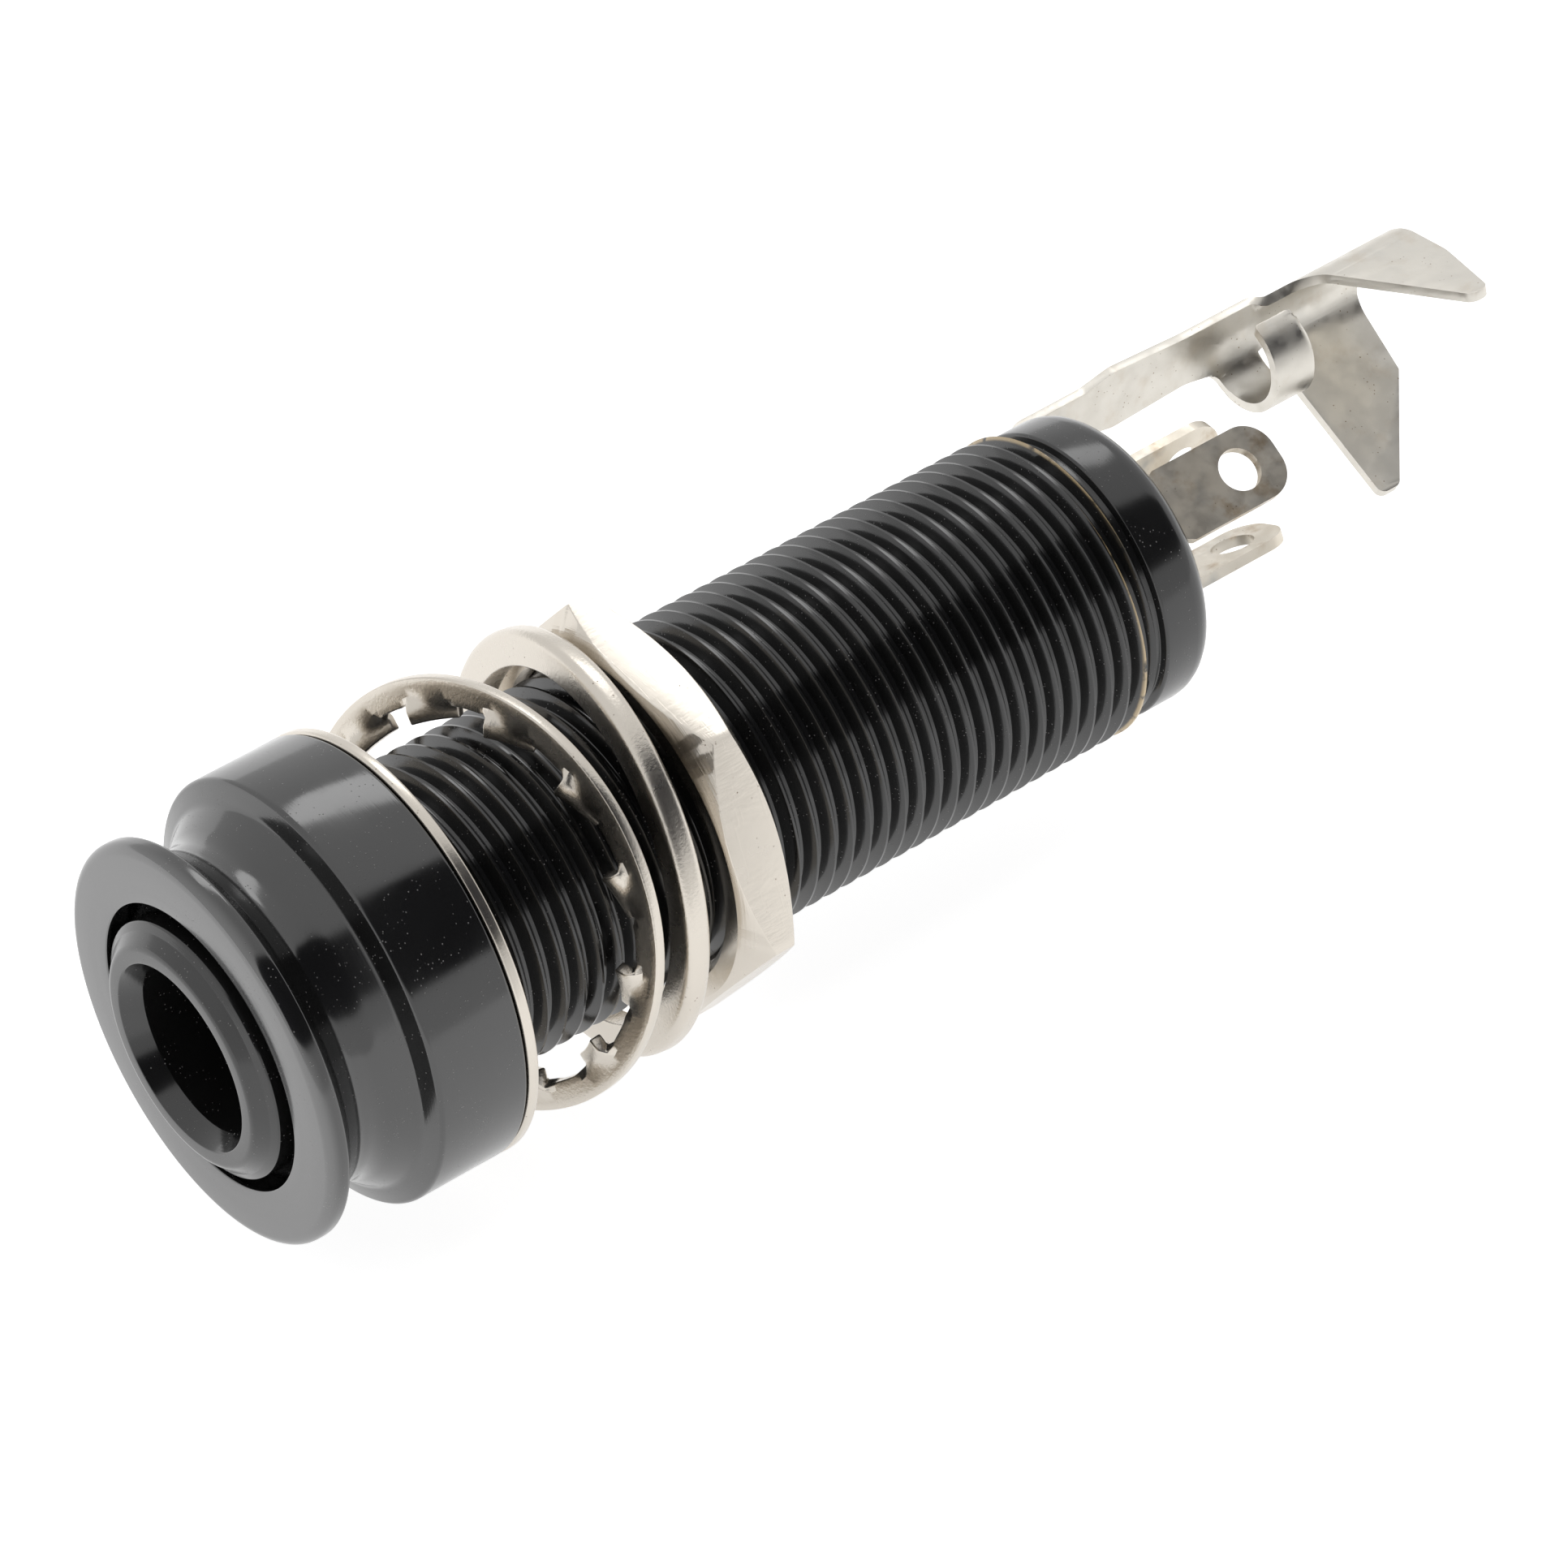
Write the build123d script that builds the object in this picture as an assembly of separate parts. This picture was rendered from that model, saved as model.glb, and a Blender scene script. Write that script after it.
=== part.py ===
"""Guitar endpin jack: a 6.35 mm stereo socket in a threaded barrel, with its strap button and nut.

Row frame, millimetres: +X runs along the barrel into the instrument, +Z is up, and the origin
is on the barrel's axis at the face that seats on the instrument's end block. The barrel's thread
is drawn as turned ridges at the thread's pitch, and the button and the nut have plain bores that
clear them, so they can be posed anywhere along it.
"""

import math
import os

from build123d import *

# --- driving dimensions ---------------------------------------------------------------------
PITCH = 25.4 / 32              # 15/32-32 UNS thread, right-hand
THREAD_R = 5.92                # barrel thread, crest radius
ROOT_R = 5.44                  # barrel thread, root radius
CREST_SHARE, ROOT_SHARE = 0.17, 0.22          # flats, as shares of the pitch
THREAD_FRONT_X, THREAD_REAR_X = -7.5, 30.0
BORE_R = 6.0                   # plain bores of the button and the nut, over the ridges

NOSE_X, NOSE_R = -9.26, 4.95   # front of the socket's mouth
REAR_X = 32.64                 # rear of the rolled lip
PLUG_R = 3.2                   # bore for the 6.35 mm plug
BORE_END_X = 3.6               # the bore opens into the contact chamber here
CHAMBER_R = 4.75
LIP_X = 31.6                   # inner face of the rolled lip
LIP_R = 4.35
LIP_OUTER_R = 5.7

BUTTON_FRONT_X = -8.45
BUTTON_REAR_X = -0.5
FLANGE_R = 7.7
NECK_R = 6.5
BUTTON_MOUTH_R = 5.5           # front edge of the button's bore
DRUM_R = 8.19

BUTTON_WASHER_R = 8.2
BUTTON_WASHER_T = 0.45
LOCK_X, LOCK_R, LOCK_T, LOCK_TILT = 3.75, 8.14, 0.5, 17.0
LOCK_BAND_R = 7.1              # inner edge of the lock washer's plain band
LOCK_TOOTH_R = 6.5
LOCK_TEETH = 12
FLAT_X, FLAT_R, FLAT_HOLE_R, FLAT_T, FLAT_TILT = 7.95, 7.97, 6.65, 1.0, 7.0
LOCK_HINGE = (0, 0.768, 0.641)  # crosswise line each loose washer leans about
FLAT_HINGE = (0, 0.637, -0.771)
NUT_FRONT_X, NUT_T, NUT_AF = 9.55, 2.3, 14.3
NUT_CLOCK = 4.8                # turn of the hexagon about the barrel
NUT_CHAMFER_R = 6.95

# the contact stack inside the barrel, front to rear
WAFER_R = 4.7
LINER_T = 0.2
STACK_X = 24.0
WAFER_T = 1.2
TERMINAL_T = 0.35
GROUND_RING_X = 31.15
RING_T = 0.4

SLOT_GAP = 0.08                # room round a lug or tail in its slot
TAIL_R = 3.95                  # where the tails pass through the wafers
TAIL_STUB = 0.2                # how far a tail stands out of the front wafer
LEAF_T, LEAF_W = 0.3, 2.0
LEAF_ROOT_X = 23.7
LEAF_CONTACTS = {"tip": (17.5, 2.55), "ring": (11.7, 2.75), "switch": (6.2, 2.85)}
LUG_T, LUG_W, LUG_NECK_W, LUG_HOLE_R = 0.4, 3.0, 1.7, 0.85
LUG_R = 2.2                    # how far the lugs stand from the barrel's axis
LUG_END_X = 39.3

CLAMP_T = 0.38
TAB_X, TAB_Y = 32.78, 3.75     # the clamp's tab, where it bends out over the lip
WEB_Y = 6.45                   # inner face of the clamp's web
WEB_X, WEB_END_X = 41.4, 51.8
LOOP_X, LOOP_R = (42.8, 44.7), 2.02
CLAW_BEND_R = 1.5

# each contact has its own side of the barrel: the angle about +X, from +Y towards +Z
CONTACT_ANGLES = {"tip": 120, "ring": -120, "switch": 0}


# --- helpers --------------------------------------------------------------------------------
def turned(*outline):
    """Revolve a closed outline of (x, radius) corners about the barrel's axis."""
    return revolve(Plane.XY * make_face(Polyline(*outline, close=True)), Axis.X)


def tube(x0, x1, outer, inner):
    return turned((x0, inner), (x1, inner), (x1, outer), (x0, outer))


def on_side(shape, angle):
    """Turn a shape modelled on the +Y side to its own side of the barrel."""
    return Rot(angle, 0, 0) * shape


def block(x, y, z):
    """A box from three (low, high) pairs."""
    size = [high - low for low, high in (x, y, z)]
    middle = [(high + low) / 2 for low, high in (x, y, z)]
    return Pos(*middle) * Box(*size)


def tilted(shape, x, axis, angle):
    """Lean a ring that is centred on the axis at x about a crosswise direction."""
    return shape.rotate(Axis((x, 0, 0), axis), angle)


def thread_ridges():
    """Corners (x, radius) of the ridges, front to rear, each with its crest, flanks and root."""
    flank = (1 - CREST_SHARE - ROOT_SHARE) / 2
    crest, root, slope = CREST_SHARE * PITCH, ROOT_SHARE * PITCH, flank * PITCH
    corners = []
    for i in range(int((THREAD_REAR_X - THREAD_FRONT_X) / PITCH)):
        x = THREAD_FRONT_X + root / 2 + i * PITCH
        corners += [(x, ROOT_R), (x + slope, THREAD_R), (x + slope + crest, THREAD_R),
                    (x + 2 * slope + crest, ROOT_R)]
    return corners


# --- barrel ---------------------------------------------------------------------------------
def barrel_shell():
    """Threaded barrel with the plug bore in its nose and the lip rolled in at the rear."""
    nose = [(NOSE_X, 3.85), (NOSE_X + 0.12, 4.1), (NOSE_X + 0.45, 4.62), (NOSE_X + 0.62, NOSE_R),
            (THREAD_FRONT_X - 0.3, NOSE_R), (THREAD_FRONT_X, ROOT_R)]
    step_r = ROOT_R - 0.1
    collar = [(THREAD_REAR_X - 0.1, ROOT_R), (THREAD_REAR_X, step_r), (THREAD_REAR_X + 0.35, step_r),
              (THREAD_REAR_X + 0.5, LIP_OUTER_R), (REAR_X, LIP_OUTER_R)]
    body = turned((NOSE_X, 0), *nose, *thread_ridges(), *collar, (REAR_X, 0))
    rim = body.edges().filter_by(GeomType.CIRCLE).sort_by(lambda e: e.center().X + e.radius)[-1]
    body = fillet(rim, 0.9)
    return body - turned((NOSE_X - 1, 0), (NOSE_X - 1, 4.3), (NOSE_X + 0.75, PLUG_R), (BORE_END_X, PLUG_R),
                         (BORE_END_X, CHAMBER_R), (LIP_X, CHAMBER_R), (LIP_X, LIP_R), (REAR_X + 1, LIP_R),
                         (REAR_X + 1, 0))


# --- strap button, washers and nut ----------------------------------------------------------
def button_outline():
    """Half-section of the strap button: flange, strap groove and drum."""
    front, rear = BUTTON_FRONT_X, BUTTON_REAR_X
    groove_front, groove_rear = (front + 1.15, 7.1), (front + 4.1, 7.45)
    bottom = (front + 2.55, NECK_R)
    return make_face([
        Line((front, BUTTON_MOUTH_R), (front, 7.2)),
        ThreePointArc((front, 7.2), (front + 0.22, 7.55), (front + 0.6, FLANGE_R)),
        ThreePointArc((front + 0.6, FLANGE_R), (front + 0.9, 7.6), groove_front),
        ThreePointArc(groove_front, bottom, groove_rear),
        Line(groove_rear, (front + 4.35, 8.0)),
        ThreePointArc((front + 4.35, 8.0), (front + 4.45, 8.13), (front + 4.65, DRUM_R)),
        Line((front + 4.65, DRUM_R), (rear - 0.2, DRUM_R)),
        Line((rear - 0.2, DRUM_R), (rear, DRUM_R - 0.2)),
        Line((rear, DRUM_R - 0.2), (rear, BORE_R)),
        Line((rear, BORE_R), (front + 0.3, BORE_R)),
        Line((front + 0.3, BORE_R), (front + 0.2, BUTTON_MOUTH_R)),
        Line((front + 0.2, BUTTON_MOUTH_R), (front, BUTTON_MOUTH_R)),
    ])


def strap_button():
    return revolve(button_outline(), Axis.X)


def button_washer():
    ring = tube(-BUTTON_WASHER_T, 0, BUTTON_WASHER_R, 6.1)
    rims = ring.edges().filter_by(GeomType.CIRCLE).sort_by(lambda e: e.radius)[-2:]
    return fillet(rims, 0.12)


def lock_washer():
    """Internal-tooth lock washer: a plain band and short teeth, twisted out of its plane."""
    band = tube(LOCK_X - LOCK_T / 2, LOCK_X + LOCK_T / 2, LOCK_R, LOCK_BAND_R)
    rims = band.edges().filter_by(GeomType.CIRCLE).sort_by(lambda e: e.radius)[-2:]
    washer = fillet(rims, 0.15)
    tooth = block((LOCK_X - 0.2, LOCK_X + 0.2), (LOCK_TOOTH_R, LOCK_BAND_R + 0.25), (-0.85, 0.85))
    tooth = tooth.rotate(Axis((LOCK_X, 0, 0), (0, 1, 0)), 18)
    for i in range(LOCK_TEETH):
        washer += on_side(tooth, i * 360 / LOCK_TEETH)
    return tilted(washer, LOCK_X, LOCK_HINGE, LOCK_TILT)


def flat_washer():
    ring = tube(FLAT_X - FLAT_T / 2, FLAT_X + FLAT_T / 2, FLAT_R, FLAT_HOLE_R)
    ring = fillet(ring.edges().filter_by(GeomType.CIRCLE).sort_by(lambda e: e.radius)[-2:], 0.3)
    return tilted(ring, FLAT_X, FLAT_HINGE, FLAT_TILT)


def hex_nut():
    rear = NUT_FRONT_X + NUT_T
    corner_r = NUT_AF / math.sqrt(3)
    slope = math.tan(math.radians(30))
    hexagon = Plane.YZ.offset(NUT_FRONT_X) * RegularPolygon(corner_r, 6)
    nut = extrude(hexagon, NUT_T, dir=(1, 0, 0)).rotate(Axis.X, NUT_CLOCK)
    drop = (corner_r + 0.5 - NUT_CHAMFER_R) * slope
    nut &= turned((NUT_FRONT_X, 0), (NUT_FRONT_X, NUT_CHAMFER_R), (NUT_FRONT_X + drop, corner_r + 0.5),
                  (rear - drop, corner_r + 0.5), (rear, NUT_CHAMFER_R), (rear, 0))
    lead = 0.3
    return nut - turned((NUT_FRONT_X, 0), (NUT_FRONT_X, BORE_R + lead), (NUT_FRONT_X + lead, BORE_R),
                        (rear - lead, BORE_R), (rear, BORE_R + lead), (rear, 0))


# --- contact stack --------------------------------------------------------------------------
BASE_X = {name: STACK_X + WAFER_T + i * (WAFER_T + TERMINAL_T)
          for i, name in enumerate(("tip", "ring", "switch"))}


def insulating_liner():
    """Paper tube that keeps the contact leaves off the barrel."""
    return tube(BORE_END_X + 0.05, STACK_X - 0.05, WAFER_R, WAFER_R - LINER_T)


def passage(x0, x1, radius, width, thickness):
    """Cutter for one lug or tail that passes through a wafer, on the +Y side."""
    half_t = thickness / 2 + SLOT_GAP
    half_w = width / 2 + SLOT_GAP
    return block((x0, x1), (radius - half_t, radius + half_t), (-half_w, half_w))


def wafer(x0, x1, tails=(), lugs=()):
    """Insulating disc, slotted for the tails and lugs that pass through it."""
    disc = tube(x0 + 0.02, x1 - 0.02, WAFER_R, 0.6)
    for name in tails:
        disc -= on_side(passage(x0, x1, TAIL_R, LEAF_W, LEAF_T), CONTACT_ANGLES[name])
    for name in lugs:
        disc -= on_side(passage(x0, x1, LUG_R, LUG_NECK_W, LUG_T), CONTACT_ANGLES[name])
    return disc


def front_wafer():
    return wafer(STACK_X, BASE_X["tip"], tails=CONTACT_ANGLES)


def tip_wafer():
    return wafer(BASE_X["tip"] + TERMINAL_T, BASE_X["ring"], tails=("ring", "switch"), lugs=("tip",))


def ring_wafer():
    return wafer(BASE_X["ring"] + TERMINAL_T, BASE_X["switch"], tails=("switch",), lugs=("tip", "ring"))


def rear_insulator():
    return wafer(BASE_X["switch"] + TERMINAL_T, GROUND_RING_X, lugs=CONTACT_ANGLES)


def sheet(half_outline, y0, y1):
    """Flat blank, symmetric about the XY plane, from its (x, z) half-outline."""
    other_half = [(x, -z) for x, z in reversed(half_outline)]
    return flat_blank(list(half_outline) + other_half, y0, y1)


def flat_blank(outline, y0, y1):
    face = Plane.XZ.offset(-y0) * make_face(Polyline(*outline, close=True))
    return extrude(face, y1 - y0, dir=(0, 1, 0))


def solder_lug(base_x):
    """Lug with a narrow neck through the stack, a wide eye behind the barrel and a round hole."""
    neck, wide = LUG_NECK_W / 2, LUG_W / 2
    lug = sheet([(base_x, neck), (REAR_X + 0.5, neck), (REAR_X + 1.7, wide), (LUG_END_X, wide)],
                LUG_R - LUG_T / 2, LUG_R + LUG_T / 2)
    corners = lug.edges().filter_by(Axis.Y).sort_by(Axis.X)[-2:]
    lug = fillet(corners, LUG_W * 0.4)
    return lug - Pos(LUG_END_X - 1.8, LUG_R, 0) * Rot(90, 0, 0) * Cylinder(LUG_HOLE_R, 2)


def terminal(name):
    """Tinned terminal: a tail to the leaf, a base held between two wafers, and a solder lug."""
    base_x = BASE_X[name]
    half_w = LEAF_W / 2
    inside, outside = LUG_R - LUG_T / 2, TAIL_R + LEAF_T / 2
    base = block((base_x + 0.02, base_x + TERMINAL_T - 0.02), (inside, outside), (-half_w, half_w))
    tail = block((STACK_X - TAIL_STUB, base_x + 0.1), (TAIL_R - LEAF_T / 2, outside), (-half_w, half_w))
    return on_side(base + tail + solder_lug(base_x + 0.05), CONTACT_ANGLES[name])


def contact_leaf(name):
    """Springy leaf: runs forward from the stack and dips into the plug's path at its contact."""
    contact_x, contact_r = LEAF_CONTACTS[name]
    dip = contact_r + LEAF_T / 2
    route = [(LEAF_ROOT_X, TAIL_R), (contact_x + 1.9, dip + 0.62), (contact_x + 0.45, dip),
             (contact_x - 0.35, dip), (contact_x - 1.5, dip + 0.55)]
    upper = [(x, r + LEAF_T / 2) for x, r in route]
    lower = [(x, r - LEAF_T / 2) for x, r in reversed(route)]
    face = Plane.XY.offset(-LEAF_W / 2) * make_face(Polyline(*upper, *lower, close=True))
    return on_side(extrude(face, LEAF_W, dir=(0, 0, 1)), CONTACT_ANGLES[name])


# --- ground strip with its cable clamp --------------------------------------------------------
def clamp_ear(route, outline):
    """One claw of the clamp: a bent section (y, z), cut to its pointed outline (x, y)."""
    section = Plane.YZ.offset(WEB_X) * trace(FilletPolyline(*route, radius=CLAW_BEND_R), CLAMP_T)
    bend = extrude(section, WEB_END_X - WEB_X + 1, dir=(1, 0, 0))
    face = Plane.XY.offset(-6) * make_face(Polyline(*outline, close=True))
    return bend & extrude(face, 12, dir=(0, 0, 1))


def wire_loop():
    """Small crimp loop under the web, open by a gap beside the web's upper edge."""
    length = LOOP_X[1] - LOOP_X[0]
    centre = Pos((LOOP_X[0] + LOOP_X[1]) / 2, WEB_Y + CLAMP_T - LOOP_R, 0) * Rot(0, 90, 0)
    loop = centre * (Cylinder(LOOP_R, length) - Cylinder(LOOP_R - CLAMP_T, length))
    return loop - block((LOOP_X[0] - 1, LOOP_X[1] + 1), (WEB_Y - 0.75, WEB_Y - 0.02), (0.6, 2.5))


def ground_clamp():
    """Ring gripped under the lip, a tab bent out over it, and the strip with its crimp claws."""
    outer_y = WEB_Y + CLAMP_T
    ring = tube(GROUND_RING_X + 0.02, GROUND_RING_X + RING_T, WAFER_R, 3.3)
    tab = block((GROUND_RING_X + 0.02, TAB_X + CLAMP_T), (TAB_Y, TAB_Y + CLAMP_T), (-1.0, 1.0))
    leg = block((TAB_X, TAB_X + CLAMP_T), (TAB_Y, outer_y), (-1.0, 1.0))
    web = flat_blank([(TAB_X, 1.0), (36.6, 1.1), (38.0, 1.35), (WEB_X, 1.15), (WEB_END_X, 1.15),
                      (49.6, -1.15), (WEB_X, -1.15), (38.0, -1.35), (36.6, -1.0), (TAB_X, -1.0)],
                     WEB_Y, outer_y)
    mid_y = WEB_Y + CLAMP_T / 2
    lower_claw = clamp_ear([(mid_y, 0), (mid_y, -1.08 - 0.2), (-0.2, -4.3)],
                           [(45.45, 7), (49.6, 7), (49.6, 3.1), (46.35, -0.1), (46.1, -0.22),
                            (45.75, -0.2), (45.5, 0.2)])
    upper_claw = clamp_ear([(mid_y, 0), (mid_y, 1.28), (-0.3, 3.25)],
                           [(47.6, 7), (51.8, 7), (51.7, 4.5), (50.35, 0.0), (50.1, -0.25),
                            (49.75, -0.2), (49.55, 0.1), (47.6, 4.9)])
    return ring + tab + leg + web + wire_loop() + lower_claw + upper_claw


PARTS = {
    "barrel_shell": barrel_shell,
    "strap_button": strap_button,
    "button_washer": button_washer,
    "lock_washer": lock_washer,
    "flat_washer": flat_washer,
    "hex_nut": hex_nut,
    "insulating_liner": insulating_liner,
    "front_wafer": front_wafer,
    "tip_wafer": tip_wafer,
    "ring_wafer": ring_wafer,
    "rear_insulator": rear_insulator,
    "tip_terminal": lambda: terminal("tip"),
    "ring_terminal": lambda: terminal("ring"),
    "switch_terminal": lambda: terminal("switch"),
    "tip_leaf": lambda: contact_leaf("tip"),
    "ring_leaf": lambda: contact_leaf("ring"),
    "switch_leaf": lambda: contact_leaf("switch"),
    "ground_clamp": ground_clamp,
}


def main():
    os.makedirs("parts", exist_ok=True)
    for name, make in PARTS.items():
        export_step(make(), f"parts/{name}.step")


main()
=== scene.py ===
import math

import bmesh
import bpy
from mathutils import Matrix, Vector


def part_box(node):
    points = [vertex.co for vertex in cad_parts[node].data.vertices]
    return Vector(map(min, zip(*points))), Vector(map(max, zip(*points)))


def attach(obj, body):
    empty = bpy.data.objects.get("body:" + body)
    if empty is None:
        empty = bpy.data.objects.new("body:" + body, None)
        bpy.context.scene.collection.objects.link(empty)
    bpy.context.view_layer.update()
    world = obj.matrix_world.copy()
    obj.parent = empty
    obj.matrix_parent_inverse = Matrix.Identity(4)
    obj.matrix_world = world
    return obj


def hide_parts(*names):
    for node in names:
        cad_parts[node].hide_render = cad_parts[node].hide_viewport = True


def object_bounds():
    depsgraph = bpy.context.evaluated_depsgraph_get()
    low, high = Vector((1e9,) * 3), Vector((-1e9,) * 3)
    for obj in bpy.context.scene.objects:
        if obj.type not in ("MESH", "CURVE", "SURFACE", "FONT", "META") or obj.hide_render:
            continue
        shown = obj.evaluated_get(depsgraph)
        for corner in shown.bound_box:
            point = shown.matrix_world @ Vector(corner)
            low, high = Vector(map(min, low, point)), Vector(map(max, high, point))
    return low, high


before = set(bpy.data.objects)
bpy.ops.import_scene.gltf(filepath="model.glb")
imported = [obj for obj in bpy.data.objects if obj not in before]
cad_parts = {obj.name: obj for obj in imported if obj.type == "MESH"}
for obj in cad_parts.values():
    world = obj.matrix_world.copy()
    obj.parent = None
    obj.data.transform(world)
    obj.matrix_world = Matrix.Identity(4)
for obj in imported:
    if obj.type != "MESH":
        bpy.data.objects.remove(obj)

CAD_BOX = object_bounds()
MM = 0.001

# --- sizes read from the frame, in millimetres ------------------------------------------------
def box_mm(node):
    """Lowest and highest corner of a CAD node."""
    low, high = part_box(node)
    return low / MM, high / MM


PITCH = 25.4 / 32
SEGMENTS = 144                     # round the barrel
NOSE_X, LIP_END_X = (corner.x for corner in box_mm("barrel_shell"))
CREST_R = box_mm("barrel_shell")[1].y
ROOT_R = CREST_R - 0.48
NOSE_R = ROOT_R - 0.49
THREAD_FRONT_X, THREAD_REAR_X = NOSE_X + 1.76, LIP_END_X - 2.64
PLUG_R, CHAMBER_R, LIP_R, LIP_OUTER_R = 3.2, 4.75, 4.35, 5.7
BORE_END_X, LIP_DEPTH = 3.6, 1.04  # where the bore widens; thickness of the rolled lip
BUTTON_FRONT_X, BUTTON_REAR_X = (corner.x for corner in box_mm("strap_button"))
DRUM_R = box_mm("strap_button")[1].y
BORE_R, MOUTH_R = 6.0, 5.5
LOCK_X = sum(corner.x for corner in box_mm("lock_washer")) / 2
LOCK_R, LOCK_BAND_R, LOCK_TOOTH_R, LOCK_T, LOCK_TEETH = 8.1, 7.1, 6.5, 0.46, 12
TOOTH_TWIST = 24                   # degrees
LOCK_HINGE, LOCK_TILT = (0, 0.768, 0.641), 17.0
FLAT_X = sum(corner.x for corner in box_mm("flat_washer")) / 2
FLAT_R, FLAT_HOLE_R, FLAT_T = 7.95, 6.65, 1.0
FLAT_HINGE, FLAT_TILT = (0, 0.637, -0.771), 7.0
NUT_FRONT_X, NUT_REAR_X = (corner.x for corner in box_mm("hex_nut"))
NUT_FLAT_R, NUT_CHAMFER_R, NUT_CLOCK = 7.15, 6.95, 4.8
STRIP_T, RING_T = 0.38, 0.38       # sheet of the ground strip and of its ring
STRIP_Y = box_mm("ground_clamp")[1].y - STRIP_T / 2
STRIP_END_X = box_mm("ground_clamp")[1].x
RING_X = box_mm("ground_clamp")[0].x
TAB_Y, LEG_X = 3.94, 32.97         # mid-plane of the tab under the lip, and of the leg behind it


# --- shader graphs ----------------------------------------------------------------------------
class Graph:
    """One material's node graph, with short calls for the nodes it uses."""

    def __init__(self, name):
        self.material = bpy.data.materials.new(name)
        self.material.use_nodes = True
        self.nodes = self.material.node_tree.nodes
        self.shader = self.nodes["Principled BSDF"]
        self.links = self.material.node_tree.links
        coordinates = self.add("ShaderNodeTexCoord").outputs["Object"]
        self.place = self.vector("SCALE", coordinates, scale=1 / MM)
        parts = self.add("ShaderNodeSeparateXYZ")
        self.join(self.place, parts.inputs[0])
        self.x, self.y, self.z = parts.outputs
        self.radius = self.math("SQRT", self.math("ADD", self.math("MULTIPLY", self.y, self.y),
                                                  self.math("MULTIPLY", self.z, self.z)))

    def add(self, kind, **settings):
        node = self.nodes.new(kind)
        for key, value in settings.items():
            setattr(node, key, value)
        return node

    def join(self, source, socket):
        """Link an output, or set a plain value."""
        if isinstance(source, bpy.types.NodeSocket):
            self.links.new(source, socket)
        else:
            socket.default_value = source

    def math(self, operation, a, b=0.0, clamp=False):
        node = self.add("ShaderNodeMath", operation=operation, use_clamp=clamp)
        self.join(a, node.inputs[0])
        self.join(b, node.inputs[1])
        return node.outputs[0]

    def vector(self, operation, a, b=None, scale=None):
        node = self.add("ShaderNodeVectorMath", operation=operation)
        self.join(a, node.inputs[0])
        if b is not None:
            self.join(b, node.inputs[1])
        if scale is not None:
            node.inputs["Scale"].default_value = scale
        return node.outputs[0]

    def combine(self, x, y, z):
        node = self.add("ShaderNodeCombineXYZ")
        for socket, value in zip(node.inputs, (x, y, z)):
            self.join(value, socket)
        return node.outputs[0]

    def noise(self, per_mm, detail=3.0, roughness=0.55, place=None):
        node = self.add("ShaderNodeTexNoise")
        self.join(place or self.place, node.inputs["Vector"])
        node.inputs["Scale"].default_value = per_mm
        node.inputs["Detail"].default_value = detail
        node.inputs["Roughness"].default_value = roughness
        return node.outputs["Fac"]

    def specks(self, per_mm, size):
        """1 inside small scattered dots, 0 elsewhere."""
        node = self.add("ShaderNodeTexVoronoi")
        self.join(self.place, node.inputs["Vector"])
        node.inputs["Scale"].default_value = per_mm
        return self.band(node.outputs["Distance"], size, size * 0.6)

    def band(self, value, start, end, low=0.0, high=1.0):
        """Smooth step from low at start to high at end."""
        node = self.add("ShaderNodeMapRange", interpolation_type="SMOOTHSTEP")
        self.join(value, node.inputs["Value"])
        node.inputs["From Min"].default_value = start
        node.inputs["From Max"].default_value = end
        node.inputs["To Min"].default_value = low
        node.inputs["To Max"].default_value = high
        return node.outputs[0]

    def window(self, value, start, end, soft):
        """1 between start and end, fading to 0 over soft."""
        return self.math("MULTIPLY", self.band(value, start - soft, start),
                         self.band(value, end + soft, end))

    def mix(self, factor, a, b):
        node = self.add("ShaderNodeMix", data_type="RGBA")
        self.join(factor, node.inputs[0])
        self.join(a, node.inputs[6])
        self.join(b, node.inputs[7])
        return node.outputs[2]

    def bump(self, height, depth_um, under=None):
        node = self.add("ShaderNodeBump")
        node.inputs["Distance"].default_value = depth_um * 1e-6
        self.join(height, node.inputs["Height"])
        if under is not None:
            self.join(under, node.inputs["Normal"])
        return node.outputs[0]

    def surface(self, **sockets):
        for name, value in sockets.items():
            self.join(value, self.shader.inputs[name.replace("_", " ")])
        return self.material


def grey(value, warmth=0.0):
    return (value * (1 + warmth), value, value * (1 - warmth), 1)


def black_plating(name, ior, satin=0.0, brass_edge=False):
    """Glossy black plating over brass, with dust, lathe lines and a worn thread crest."""
    g = Graph(name)
    lathe = g.noise(1.0, 2, 0.6, g.combine(g.math("MULTIPLY", g.x, 14), g.math("MULTIPLY", g.radius, 14), 0))
    cloud = g.noise(0.35, 4)
    dust = g.math("MULTIPLY", g.specks(5.5, 0.16), g.band(g.noise(0.9, 2), 0.42, 0.62))
    tone = g.mix(cloud, grey(0.006), grey(0.012))
    tone = g.mix(dust, tone, grey(0.16, 0.03))
    if brass_edge:
        worn = g.math("MULTIPLY", g.window(g.x, THREAD_REAR_X - 0.95, THREAD_REAR_X - 0.15, 0.1),
                      g.band(g.radius, CREST_R - 0.16, CREST_R - 0.06))
        worn = g.math("MULTIPLY", worn, g.band(g.noise(1.4, 3), 0.32, 0.5))
        tone = g.mix(worn, tone, (0.55, 0.42, 0.24, 1))
    rough = g.math("ADD", g.band(cloud, 0.3, 0.7, 0.07 + satin, 0.15 + satin), g.math("MULTIPLY", dust, 0.4))
    peel = g.bump(g.noise(1.1, 3), 1.6)
    lines = g.bump(lathe, 1.2 + 6 * satin, peel)
    return g.surface(Base_Color=tone, Roughness=rough, IOR=ior(g), Normal=g.bump(dust, 6, lines))


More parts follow.
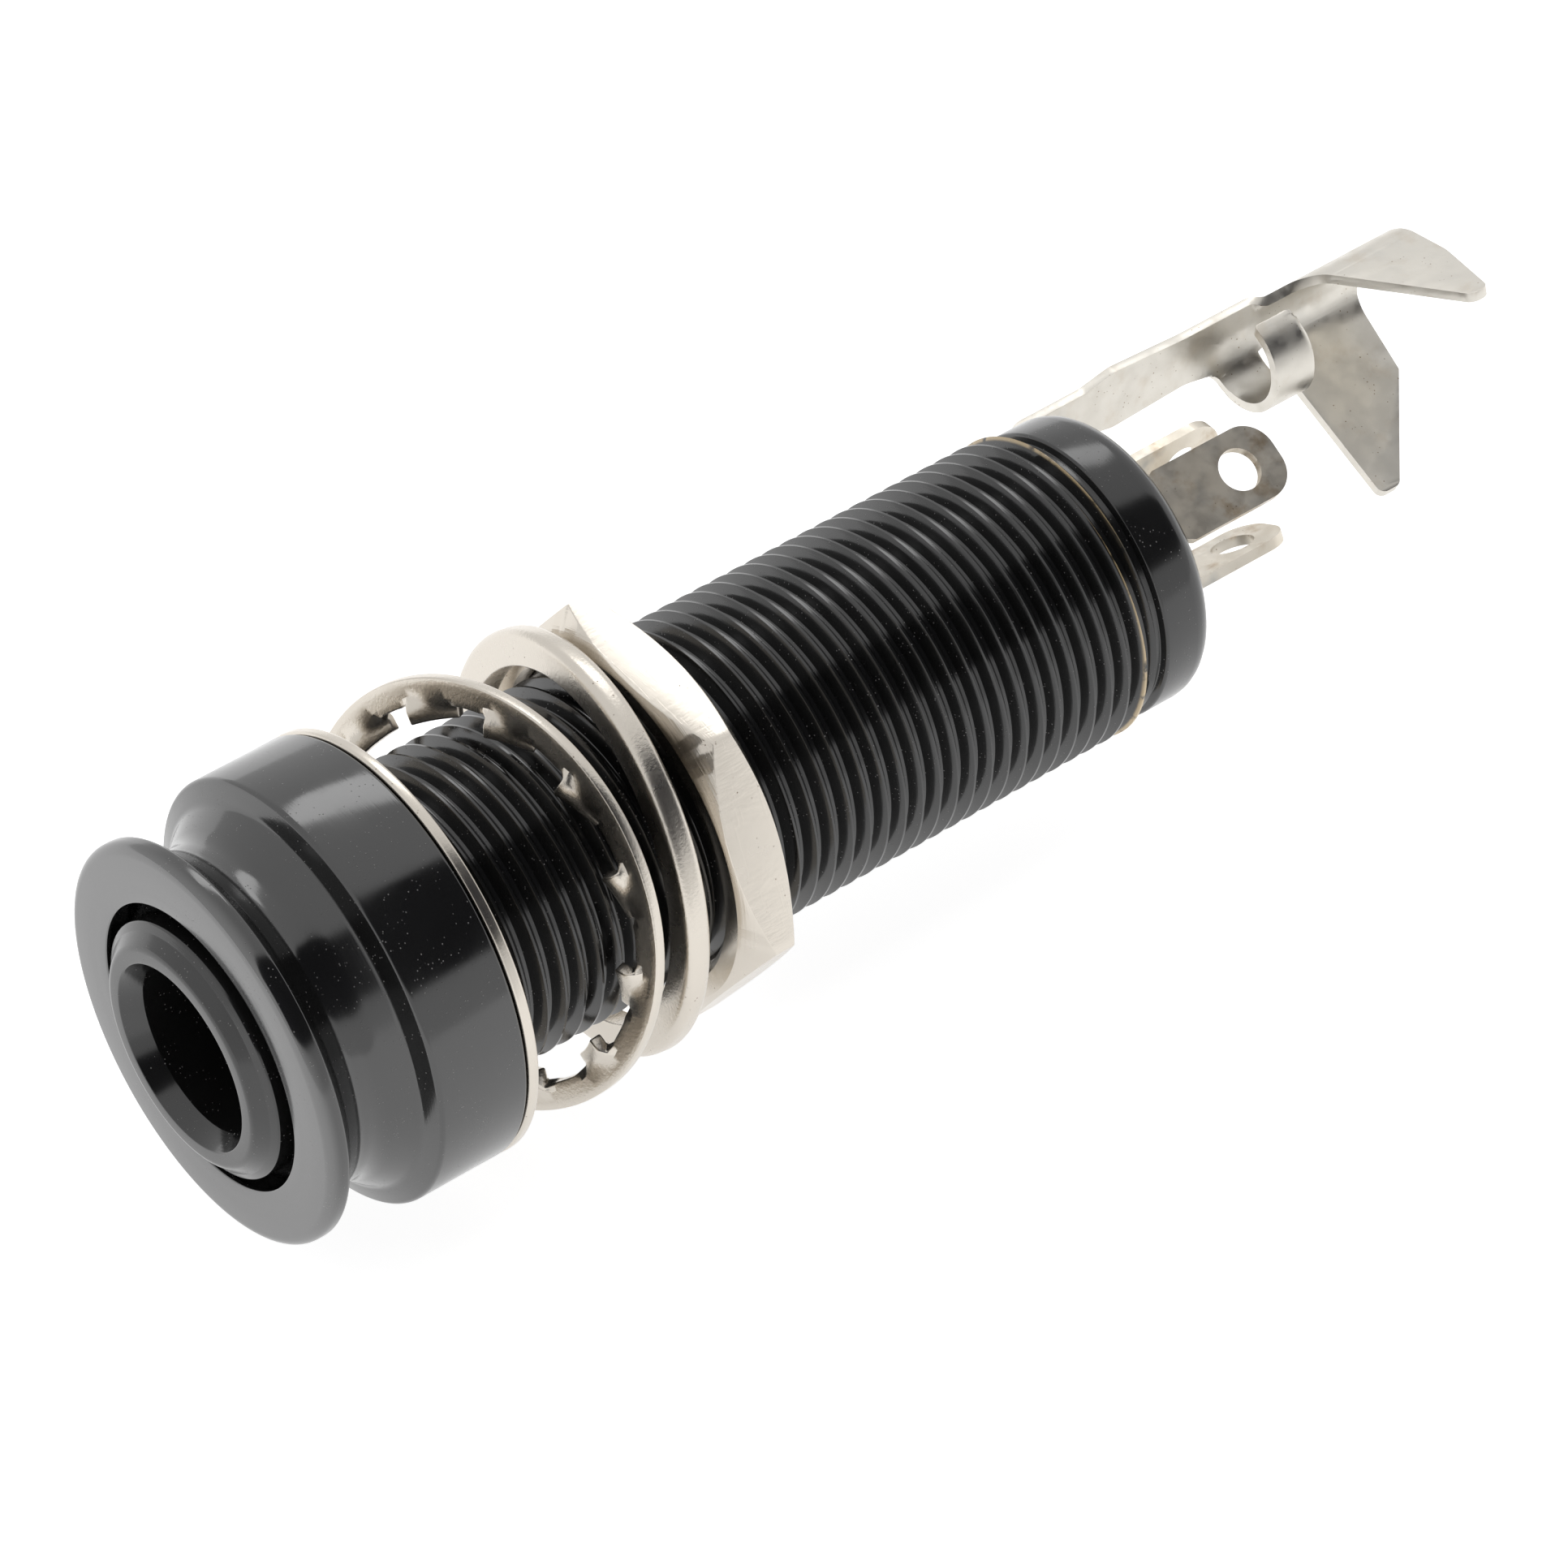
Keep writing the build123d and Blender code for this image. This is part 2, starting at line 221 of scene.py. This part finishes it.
def satin_face(g):
    """Reflectance of the button: its flat face is a little brighter than the rest."""
    return g.band(g.x, BUTTON_FRONT_X + 0.05, BUTTON_FRONT_X + 0.5, 2.35, 1.85)


def nickel(name, grain_um=2.0, grain_per_mm=7.0, rings=False, scratched=False):
    """Warm nickel plating: tumbled grain, turned rings or scratched flats."""
    g = Graph(name)
    grain = g.noise(grain_per_mm, 3, 0.65)
    cloud = g.noise(0.45, 3)
    pits = g.math("MULTIPLY", g.specks(3.4, 0.13), g.band(g.noise(0.7, 2), 0.5, 0.66))
    tone = g.mix(cloud, (0.60, 0.555, 0.49, 1), (0.68, 0.635, 0.57, 1))
    tone = g.mix(pits, tone, (0.34, 0.29, 0.24, 1))
    normal = g.bump(grain, grain_um)
    if rings:
        turned = g.noise(1.0, 2, 0.6, g.combine(g.math("MULTIPLY", g.radius, 9), g.x, 0))
        edge = g.band(g.radius, 6.9, 7.05)
        normal = g.bump(g.math("MULTIPLY", turned, edge), 7.0, normal)
    if scratched:
        along = g.combine(g.math("MULTIPLY", g.x, 5.5), g.math("MULTIPLY", g.y, 0.35),
                          g.math("MULTIPLY", g.z, 0.35))
        scratch = g.band(g.noise(1.6, 2, 0.5, along), 0.60, 0.66)
        normal = g.bump(scratch, 1.5, normal)
    rough = g.math("ADD", g.band(cloud, 0.3, 0.7, 0.20, 0.30), g.math("MULTIPLY", pits, 0.3))
    return g.surface(Base_Color=tone, Metallic=1.0, Roughness=rough, Normal=normal)


def tinned(name, tarnish, tin=(0.60, 0.575, 0.525, 1)):
    """Hot-tinned brass sheet: soft ripples, brown tarnish by the eyes and grey dull patches."""
    g = Graph(name)
    blotch = g.noise(0.75, 4, 0.6)
    brown = g.math("MULTIPLY", g.band(blotch, 0.52, 0.74), tarnish)
    dull = g.math("MULTIPLY", g.band(g.noise(0.5, 3), 0.54, 0.76), tarnish)
    tone = g.mix(g.noise(0.3, 2), tin, (0.70, 0.67, 0.61, 1))
    tone = g.mix(brown, tone, (0.42, 0.31, 0.19, 1))
    tone = g.mix(dull, tone, (0.33, 0.34, 0.34, 1))
    flecks = g.math("MULTIPLY", g.specks(4.2, 0.14), g.band(g.noise(1.2, 2), 0.5, 0.62))
    tone = g.mix(flecks, tone, (0.25, 0.18, 0.12, 1))
    rough = g.band(g.noise(1.1, 3), 0.3, 0.7, 0.30, 0.46)
    ripple = g.bump(g.noise(0.9, 3), 8)
    return g.surface(Base_Color=tone, Metallic=1.0, Roughness=rough,
                     Normal=g.bump(g.noise(9, 2), 1.2, ripple))


def spring_bronze():
    """Rolled phosphor bronze: fine lines along the strip."""
    g = Graph("spring_bronze")
    rolled = g.noise(1.0, 2, 0.5, g.combine(g.math("MULTIPLY", g.x, 0.6), g.math("MULTIPLY", g.y, 14),
                                            g.math("MULTIPLY", g.z, 14)))
    tone = g.mix(g.noise(0.8, 3), (0.62, 0.40, 0.22, 1), (0.74, 0.53, 0.32, 1))
    rough = g.band(rolled, 0.3, 0.7, 0.22, 0.38)
    return g.surface(Base_Color=tone, Metallic=1.0, Roughness=rough, Normal=g.bump(rolled, 2.0))


def fibre(name, dark, light, per_mm):
    """Pressed fibre or paper laminate: mottled and matt."""
    g = Graph(name)
    weave = g.noise(per_mm, 4, 0.6)
    tone = g.mix(weave, dark, light)
    rough = g.band(g.noise(1.2, 2), 0.3, 0.7, 0.55, 0.75)
    return g.surface(Base_Color=tone, Roughness=rough, Normal=g.bump(weave, 8))


def paint(node, material):
    """Give a CAD node one procedural material in all of its slots."""
    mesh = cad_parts[node].data
    for index in range(max(1, len(mesh.materials))):
        if index < len(mesh.materials):
            mesh.materials[index] = material
        else:
            mesh.materials.append(material)


# --- mesh helpers -----------------------------------------------------------------------------
def add_piece(name, mesh, body, slot, material, *nodes):
    """A finished mesh as a piece that rides on a body and stands for CAD nodes."""
    piece = bpy.data.objects.new(name, mesh)
    bpy.context.scene.collection.objects.link(piece)
    mesh.materials.append(material)
    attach(piece, body)
    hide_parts(*nodes)
    return piece


def smooth(mesh, degrees=32):
    mesh.polygons.foreach_set("use_smooth", [True] * len(mesh.polygons))
    mesh.set_sharp_from_angle(angle=math.radians(degrees))


def rounded(corners, steps=6):
    """Round the corners (x, r, radius) of an open outline with short arcs."""
    points = []
    for i, (x, r, radius) in enumerate(corners):
        here = Vector((x, r))
        if radius == 0 or i in (0, len(corners) - 1):
            points.append(here)
            continue
        into = (Vector(corners[i - 1][:2]) - here).normalized()
        out = (Vector(corners[i + 1][:2]) - here).normalized()
        turn = math.pi - into.angle(out)
        reach = radius * math.tan(turn / 2)
        centre = here + (into + out).normalized() * (radius / math.cos(turn / 2))
        start, end = here + into * reach - centre, here + out * reach - centre
        sweep = start.angle_signed(end)
        for k in range(steps + 1):
            angle = -sweep * k / steps
            turned = Vector((start.x * math.cos(angle) - start.y * math.sin(angle),
                             start.x * math.sin(angle) + start.y * math.cos(angle)))
            points.append(centre + turned)
    return points


def lathe(bm, outline, segments=SEGMENTS):
    """Turn an outline of (x, r) points about the barrel's axis into faces."""
    rings = []
    for x, r in outline:
        ring = []
        for k in range(segments):
            angle = 2 * math.pi * k / segments
            ring.append(bm.verts.new((x * MM, r * math.cos(angle) * MM, r * math.sin(angle) * MM)))
        rings.append(ring)
    for a, b in zip(rings, rings[1:]):
        for k in range(segments):
            bm.faces.new((a[k], a[k - 1], b[k - 1], b[k]))


# the thread's form over one pitch: (share of the pitch, depth below the crest as a share)
THREAD_FORM = ((0.0, 0.06), (0.03, 0.0), (0.14, 0.0), (0.17, 0.06), (0.40, 0.80),
               (0.46, 0.96), (0.52, 1.0), (0.64, 1.0), (0.70, 0.96), (0.77, 0.78))
THREAD_END_R = ROOT_R - 0.04


def thread_limit(x):
    """Largest radius that the run-outs at the two ends leave to the thread."""
    return min(CREST_R, THREAD_END_R + (x - THREAD_FRONT_X) * 1.1, THREAD_END_R + (THREAD_REAR_X - x) * 1.3)


def thread(bm):
    """The helical thread as one strip of faces that follows the crest."""
    turns = math.ceil((THREAD_REAR_X - THREAD_FRONT_X) / PITCH) + 3
    grid = []
    for i in range(SEGMENTS * turns + 1):
        angle = 2 * math.pi * i / SEGMENTS
        row = []
        for share, depth in THREAD_FORM:
            x = THREAD_FRONT_X + PITCH * (i / SEGMENTS - 1.5 + share)
            x = min(max(x, THREAD_FRONT_X), THREAD_REAR_X)
            r = min(CREST_R - depth * (CREST_R - ROOT_R), thread_limit(x))
            row.append(bm.verts.new((x * MM, r * math.cos(angle) * MM, r * math.sin(angle) * MM)))
        grid.append(row)
    last = len(THREAD_FORM) - 1
    for i in range(len(grid) - 1):
        for j in range(last):
            bm.faces.new((grid[i][j], grid[i][j + 1], grid[i + 1][j + 1], grid[i + 1][j]))
        after = i + SEGMENTS
        if after < len(grid) - 1:
            bm.faces.new((grid[i][last], grid[after][0], grid[after + 1][0], grid[i + 1][last]))


def finish_mesh(bm, name, degrees=32):
    bmesh.ops.remove_doubles(bm, verts=bm.verts, dist=1e-7)
    bmesh.ops.dissolve_degenerate(bm, edges=bm.edges, dist=1e-8)
    loose = [v for v in bm.verts if not v.link_faces]
    bmesh.ops.delete(bm, geom=loose, context="VERTS")
    bmesh.ops.recalc_face_normals(bm, faces=bm.faces)
    mesh = bpy.data.meshes.new(name)
    bm.to_mesh(mesh)
    bm.free()
    smooth(mesh, degrees)
    return mesh


# --- turned and stamped pieces ----------------------------------------------------------------
def closed(outline):
    return [*outline, outline[0]]


def barrel(material):
    """Barrel: mouth, plug bore, helical thread, step and rolled lip."""
    bm = bmesh.new()
    thread(bm)
    outline = rounded([(THREAD_FRONT_X, THREAD_END_R, 0), (THREAD_FRONT_X - 0.3, NOSE_R, 0.1),
                       (NOSE_X + 0.62, NOSE_R, 0.12), (NOSE_X + 0.45, 4.66, 0.1), (NOSE_X, 4.2, 0.35),
                       (NOSE_X, 3.62, 0.06), (NOSE_X + 0.75, PLUG_R, 0.1), (BORE_END_X, PLUG_R, 0.05),
                       (BORE_END_X, CHAMBER_R, 0.1), (LIP_END_X - LIP_DEPTH, CHAMBER_R, 0.1),
                       (LIP_END_X - LIP_DEPTH, LIP_R, 0.15),
                       (LIP_END_X, LIP_R, 0.2), (LIP_END_X, LIP_OUTER_R, 0.95),
                       (THREAD_REAR_X + 0.3, LIP_OUTER_R, 0.14), (THREAD_REAR_X + 0.2, THREAD_END_R, 0.05),
                       (THREAD_REAR_X, THREAD_END_R, 0)])
    lathe(bm, outline)
    return add_piece("barrel", finish_mesh(bm, "barrel"), "barrel", "black_plating", material,
                     "barrel_shell")


def button(material):
    """Strap button: thin flange, polished groove and drum, with a narrow mouth over the thread."""
    front, rear = BUTTON_FRONT_X, BUTTON_REAR_X
    bm = bmesh.new()
    lathe(bm, closed(rounded([(front, 6.4, 0), (front, 7.7, 0.42), (front + 0.75, 7.7, 0.22),
                              (front + 1.3, 6.95, 0.5), (front + 2.0, 6.5, 1.0), (front + 3.0, 6.5, 1.1),
                              (front + 4.0, 7.35, 0.6), (front + 4.3, DRUM_R, 0.22), (rear, DRUM_R, 0.16),
                              (rear, BORE_R, 0.1), (front + 0.3, BORE_R, 0.05), (front + 0.2, MOUTH_R, 0.05),
                              (front, MOUTH_R, 0.07), (front, 6.0, 0)])))
    return add_piece("button", finish_mesh(bm, "button", 40), "button", "black_plating", material,
                     "strap_button")


def tilt(bm, x, axis, degrees):
    """Lean a ring about the crosswise line through its middle."""
    turn = Matrix.Rotation(math.radians(degrees), 3, Vector(axis))
    bmesh.ops.rotate(bm, cent=(x * MM, 0, 0), matrix=turn, verts=bm.verts)


def thin_washer(material):
    low, high = box_mm("button_washer")
    bm = bmesh.new()
    lathe(bm, closed(rounded([(low.x, 7, 0), (low.x, high.y, 0.14), (high.x, high.y, 0.14),
                              (high.x, 6.1, 0.05), (low.x, 6.1, 0.05), (low.x, 7, 0)])[:-1]))
    return add_piece("thin_washer", finish_mesh(bm, "thin_washer"), "button_seat", "nickel", material,
                     "button_washer")


def flat_ring(material):
    """Tumbled flat washer, rounded at its outer rim and sharp at its punched hole."""
    x0, x1 = FLAT_X - FLAT_T / 2, FLAT_X + FLAT_T / 2
    bm = bmesh.new()
    lathe(bm, closed(rounded([(x0, 7.3, 0), (x0, FLAT_R, 0.36), (x1, FLAT_R, 0.36), (x1, FLAT_HOLE_R, 0.08),
                              (x0, FLAT_HOLE_R, 0.08), (x0, 7.3, 0)])[:-1]))
    tilt(bm, FLAT_X, FLAT_HINGE, FLAT_TILT)
    return add_piece("flat_ring", finish_mesh(bm, "flat_ring"), "nut_seat", "nickel", material,
                     "flat_washer")


def toothed_ring(material):
    """Internal-tooth lock washer: a plain band whose short teeth are twisted out of its plane."""
    bm = bmesh.new()
    step, half_tooth = 16, 4         # columns from tooth to tooth, and in half a tooth
    columns = LOCK_TEETH * step
    band_rings = [LOCK_R, LOCK_R - 0.3, LOCK_BAND_R + 0.3, LOCK_BAND_R]
    tooth_rings = [LOCK_BAND_R, LOCK_BAND_R - 0.15, LOCK_BAND_R - 0.35, LOCK_TOOTH_R]

    def point(r, column):
        angle = 2 * math.pi * column / columns
        across = (column + step / 2) % step - step / 2
        twist = math.tan(math.radians(TOOTH_TWIST)) * across * 2 * math.pi / columns * r
        share = min(1, max(0, (LOCK_BAND_R + 0.3 - r) / 0.45))
        return bm.verts.new(((LOCK_X + twist * share) * MM, r * math.cos(angle) * MM,
                             r * math.sin(angle) * MM))

    def patch(radii, start, end):
        grid = [[point(r, column) for column in range(start, end + 1)] for r in radii]
        for outer, inner in zip(grid, grid[1:]):
            for k in range(end - start):
                bm.faces.new((outer[k], outer[k + 1], inner[k + 1], inner[k]))

    for tooth in range(LOCK_TEETH):
        patch(tooth_rings, tooth * step - half_tooth, tooth * step + half_tooth)
    for k in range(columns):
        grid = []
        for r in band_rings:
            pair = []
            for column in (k, k + 1):
                vertex = point(r, column)
                if half_tooth < column % step < step - half_tooth:
                    vertex.co.x = LOCK_X * MM
                pair.append(vertex)
            grid.append(pair)
        for outer, inner in zip(grid, grid[1:]):
            bm.faces.new((outer[0], outer[1], inner[1], inner[0]))
    tilt(bm, LOCK_X, LOCK_HINGE, LOCK_TILT)
    piece = add_piece("toothed_ring", finish_mesh(bm, "toothed_ring"), "lock_washer", "nickel", material,
                      "lock_washer")
    thicken(piece, LOCK_T, 0.07)
    return piece


def thicken(piece, thickness, edge):
    """Give a thin sheet its thickness and rounded edges."""
    solid = piece.modifiers.new("sheet", "SOLIDIFY")
    solid.thickness, solid.offset = thickness * MM, 0
    bevel = piece.modifiers.new("edges", "BEVEL")
    bevel.width, bevel.segments = edge * MM, 3
    bevel.limit_method, bevel.angle_limit = "ANGLE", math.radians(50)


def nut(material):
    """Thin hexagon nut, chamfered on both faces, with slightly soft corners."""
    slope = math.tan(math.radians(30))
    columns = 288                    # a multiple of the six sides
    corner_sharpness = 40
    bm = bmesh.new()
    rings = []
    for k in range(columns):
        angle = 2 * math.pi * k / columns
        away = (math.degrees(angle) - NUT_CLOCK - 30) % 60
        flats = [NUT_FLAT_R / math.cos(math.radians(away - turn)) for turn in (0, 60)]
        reach = -math.log(sum(math.exp(-flat * corner_sharpness) for flat in flats)) / corner_sharpness
        drop = max(0, reach - NUT_CHAMFER_R) * slope
        side = [(NUT_FRONT_X + 0.3, BORE_R), (NUT_FRONT_X, BORE_R + 0.3),
                (NUT_FRONT_X, NUT_CHAMFER_R - 0.05),
                (NUT_FRONT_X + 0.01, NUT_CHAMFER_R + 0.02), (NUT_FRONT_X + drop - 0.02, reach - 0.035),
                (NUT_FRONT_X + drop + 0.01, reach - 0.008), (NUT_FRONT_X + drop + 0.05, reach)]
        outline = side + [(NUT_FRONT_X + NUT_REAR_X - x, r) for x, r in reversed(side)]
        rings.append([bm.verts.new((x * MM, r * math.cos(angle) * MM, r * math.sin(angle) * MM))
                      for x, r in outline])
    count = len(rings[0])
    for k in range(columns):
        a, b = rings[k], rings[(k + 1) % columns]
        for j in range(count):
            bm.faces.new((a[j], a[(j + 1) % count], b[(j + 1) % count], b[j]))
    return add_piece("nut", finish_mesh(bm, "nut", 20), "nut", "nickel", material, "hex_nut")


# --- ground strip -----------------------------------------------------------------------------
def along(points):
    """A function from length along a polyline to the point there, counted from its start."""
    reach = [0.0]
    for a, b in zip(points, points[1:]):
        reach.append(reach[-1] + (b - a).length)

    def at(length):
        length = min(max(length, 0.0), reach[-1])
        for i in range(1, len(points)):
            if length <= reach[i] or i == len(points) - 1:
                share = (length - reach[i - 1]) / max(reach[i] - reach[i - 1], 1e-9)
                return points[i - 1].lerp(points[i], share)

    return at, reach[-1]


LOOP_MID_R, LOOP_START = 1.8, 0.25
CLAW_BEND_R = 1.6
STRIP_PATH, STRIP_LENGTH = along(rounded([(RING_X + 0.4, TAB_Y, 0), (LEG_X, TAB_Y, 0.4),
                                          (LEG_X, STRIP_Y, 0.8), (STRIP_END_X, STRIP_Y, 0)], 8))
LOWER_ROUTE = along(rounded([(0, 0, 0), (0, -1.28, CLAW_BEND_R), (-7.2, -4.45, 0)], 12))[0]
UPPER_ROUTE = along(rounded([(0, 0, 0), (0, 1.28, CLAW_BEND_R), (-7.4, 3.35, 0)], 12))[0]


def curl(t):
    """Section of the wire loop: flat beside the upper edge, then round below and up again."""
    if t > LOOP_START:
        return Vector((0, t))
    turn = (LOOP_START - t) / LOOP_MID_R
    return Vector((LOOP_MID_R * (math.cos(turn) - 1), LOOP_START - LOOP_MID_R * math.sin(turn)))


def claw_section(t):
    return UPPER_ROUTE(t) if t > 0 else LOWER_ROUTE(-t)


def ease(value, start, end):
    share = min(1, max(0, (value - start) / (end - start)))
    return share * share * (3 - 2 * share)


def formed(s, t):
    """Where a point of the flat blank ends up: s along the strip, t across it."""
    middle = STRIP_PATH(s - STRIP_END_X + STRIP_LENGTH)
    into_loop = ease(s, 41.4, 42.8)
    into_claws = ease(s, 44.7, 45.4)
    offset = Vector((0, t)).lerp(curl(t), into_loop).lerp(claw_section(t), into_claws)
    return Vector((middle.x, middle.y + offset.x, offset.y)) * MM


def blank_outline():
    """The strip's flat blank: (s along, t across), with its wing, wire loop and two claws."""
    start = STRIP_END_X - STRIP_LENGTH
    upper = [(start, 1.0, 0), (36.6, 1.05, 1), (38.0, 1.35, 1), (41.4, 1.15, 1), (46.2, 1.15, 0.5),
             (47.5, 2.2, 1.2), (49.7, 8.1, 0.45), (50.5, 8.1, 0.45), (51.5, 4.6, 2.6), (51.74, 2.2, 1.8),
             (51.4, 0.9, 0.7), (50.6, 0.2, 0.8)]
    lower = [(50.0, -0.9, 2.0), (49.6, -4.6, 0.12), (46.5, -8.6, 0.34), (45.6, -8.6, 0.34),
             (45.45, -1.15, 0.2), (44.75, -1.15, 0.1), (44.8, -7.9, 0.2), (43.1, -7.9, 0.2),
             (42.7, -1.15, 0.4), (41.4, -1.15, 0.5), (38.0, -1.35, 1), (36.6, -1.05, 1), (start, -1.0, 0)]
    return rounded([*upper, *lower], 6)


def ground_strip(material):
    """The strip with its loop and claws, bent from one flat blank, and the ring it grows from."""
    bm = bmesh.new()
    outline = blank_outline()
    face = bm.faces.new([bm.verts.new((s, t, 0)) for s, t in outline])
    bmesh.ops.triangulate(bm, faces=[face])
    cuts = [((0, i * 0.16), (0, 1)) for i in range(-59, 52)]          # across, for the loop and claws
    cuts += [((31.5 + i * 0.12, 0), (1, 0)) for i in range(40)]       # along, at the leg's two bends
    cuts += [((41.4 + i * 0.17, 0), (1, 0)) for i in range(26)]       # along, where the section changes
    for place, normal in cuts:
        geometry = bm.verts[:] + bm.edges[:] + bm.faces[:]
        bmesh.ops.bisect_plane(bm, geom=geometry, plane_co=(*place, 0), plane_no=(*normal, 0), dist=1e-5)
    for vertex in bm.verts:
        vertex.co = formed(vertex.co.x, vertex.co.y)
    mesh = finish_mesh(bm, "ground_strip", 60)
    piece = add_piece("ground_strip", mesh, "barrel", "tinned", material, "ground_clamp")
    thicken(piece, STRIP_T, 0.06)
    bm = bmesh.new()
    lathe(bm, closed(rounded([(RING_X, 4, 0), (RING_X, 4.68, 0.05), (RING_X + RING_T, 4.68, 0.05),
                              (RING_X + RING_T, 3.3, 0.08), (RING_X, 3.3, 0.08), (RING_X, 4, 0)])[:-1]))
    ring = bpy.data.objects.new("ground_ring", finish_mesh(bm, "ground_ring"))
    bpy.context.scene.collection.objects.link(ring)
    ring.data.materials.append(material)
    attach(ring, "barrel")
    return piece


# --- studio -----------------------------------------------------------------------------------
def studio_floor(size=4.0):
    """A white light table under the object."""
    low, _ = CAD_BOX
    mesh = bpy.data.meshes.new("floor")
    bm = bmesh.new()
    bmesh.ops.create_grid(bm, x_segments=8, y_segments=8, size=size / 2)
    bm.to_mesh(mesh)
    bm.free()
    floor = bpy.data.objects.new("floor", mesh)
    floor.location = (0.02, 0, low.z - 0.0002)
    bpy.context.scene.collection.objects.link(floor)
    g = Graph("floor_white")
    paper = g.noise(0.02, 2)
    g.surface(Base_Color=g.mix(paper, grey(0.54), grey(0.56)), Roughness=0.9,
              Emission_Color=grey(1.0), Emission_Strength=0.9)
    mesh.materials.append(g.material)


def studio_world():
    """White surroundings with one dark gap, above the front."""
    world = bpy.data.worlds.new("studio")
    world.use_nodes = True
    bpy.context.scene.world = world
    nodes, links = world.node_tree.nodes, world.node_tree.links
    background = nodes["Background"]
    direction = nodes.new("ShaderNodeTexCoord").outputs["Generated"]
    parts = nodes.new("ShaderNodeSeparateXYZ")
    links.new(direction, parts.inputs[0])

    def step(value, start, end):
        node = nodes.new("ShaderNodeMapRange")
        node.interpolation_type = "SMOOTHSTEP"
        links.new(value, node.inputs["Value"])
        node.inputs["From Min"].default_value = start
        node.inputs["From Max"].default_value = end
        return node.outputs[0]

    def maths(operation, a, b):
        node = nodes.new("ShaderNodeMath")
        node.operation = operation
        for value, socket in zip((a, b), node.inputs):
            if isinstance(value, bpy.types.NodeSocket):
                links.new(value, socket)
            else:
                socket.default_value = value
        return node.outputs[0]

    front = maths("MULTIPLY", parts.outputs[1], -1.0)
    height = maths("ARCTAN2", parts.outputs[2], front)
    gap = maths("MULTIPLY", step(height, math.radians(22), math.radians(26)),
                step(height, math.radians(78), math.radians(74)))
    side = maths("ABSOLUTE", parts.outputs[0], 0.0)
    gap = maths("MULTIPLY", gap, step(side, 0.93, 0.85))
    mix = nodes.new("ShaderNodeMix")
    mix.data_type = "RGBA"
    links.new(gap, mix.inputs[0])
    mix.inputs[6].default_value = (1.0, 1.0, 1.0, 1)
    mix.inputs[7].default_value = (0.03, 0.03, 0.035, 1)
    links.new(mix.outputs[2], background.inputs["Color"])
    background.inputs["Strength"].default_value = 0.9


def softbox(name, direction, distance, width, height, radiance, aim):
    """A rectangular lamp that faces the object."""
    lamp = bpy.data.lights.new(name, "AREA")
    lamp.shape = "RECTANGLE"
    lamp.size, lamp.size_y = width, height
    lamp.energy = radiance * math.pi * width * height
    holder = bpy.data.objects.new(name, lamp)
    away = Vector(direction).normalized()
    holder.location = aim + away * distance
    holder.rotation_mode = "QUATERNION"
    holder.rotation_quaternion = away.to_track_quat("Z", "Y")
    bpy.context.scene.collection.objects.link(holder)


def camera():
    """The camera at the viewing angle, with a long lens and no roll."""
    azimuth, elevation, distance = math.radians(-38.52), math.radians(43.46), 0.2917
    aim = Vector((0.01714, -0.00003, -0.00261))
    back = Vector((math.sin(azimuth) * math.cos(elevation),
                   -math.cos(azimuth) * math.cos(elevation), math.sin(elevation)))
    data = bpy.data.cameras.new("camera")
    data.lens, data.sensor_width = 186.6, 36.0
    data.clip_start, data.clip_end = 0.01, 20
    holder = bpy.data.objects.new("camera", data)
    holder.location = aim + back * distance
    holder.rotation_mode = "QUATERNION"
    holder.rotation_quaternion = (-back).to_track_quat("-Z", "Y")
    bpy.context.scene.collection.objects.link(holder)
    bpy.context.scene.camera = holder


def studio():
    low, high = CAD_BOX
    middle = (low + high) / 2
    bpy.context.scene.view_settings.view_transform = "Standard"
    studio_world()
    studio_floor()
    softbox("key_softbox", (0.45, 0.55, 0.71), 0.6, 0.26, 0.18, 2.2, middle)
    camera()


# --- finishes ---------------------------------------------------------------------------------
def dress():
    """Every piece with its finish."""
    barrel(black_plating("barrel_black", lambda g: 1.68, satin=0.06, brass_edge=True))
    button(black_plating("button_black", satin_face, satin=0.03))
    thin_washer(nickel("nickel_thin", 2.0, 9.0))
    tumbled = nickel("nickel_tumbled", 9.0, 8.0)
    toothed_ring(tumbled)
    flat_ring(tumbled)
    nut(nickel("nickel_turned", 0.8, 6.0, rings=True, scratched=True))
    ground_strip(tinned("tinned_strip", 0.2))
    lugs = tinned("tinned_lugs", 0.75, (0.64, 0.57, 0.46, 1))
    for name in ("tip_terminal", "ring_terminal", "switch_terminal"):
        paint(name, lugs)
    bronze = spring_bronze()
    for name in ("tip_leaf", "ring_leaf", "switch_leaf"):
        paint(name, bronze)
    paint("insulating_liner", fibre("fish_paper", (0.05, 0.045, 0.04, 1), (0.11, 0.10, 0.09, 1), 5))
    laminate = fibre("phenolic", (0.045, 0.022, 0.012, 1), (0.085, 0.045, 0.025, 1), 4)
    for name in ("front_wafer", "tip_wafer", "ring_wafer", "rear_insulator"):
        paint(name, laminate)


dress()
studio()
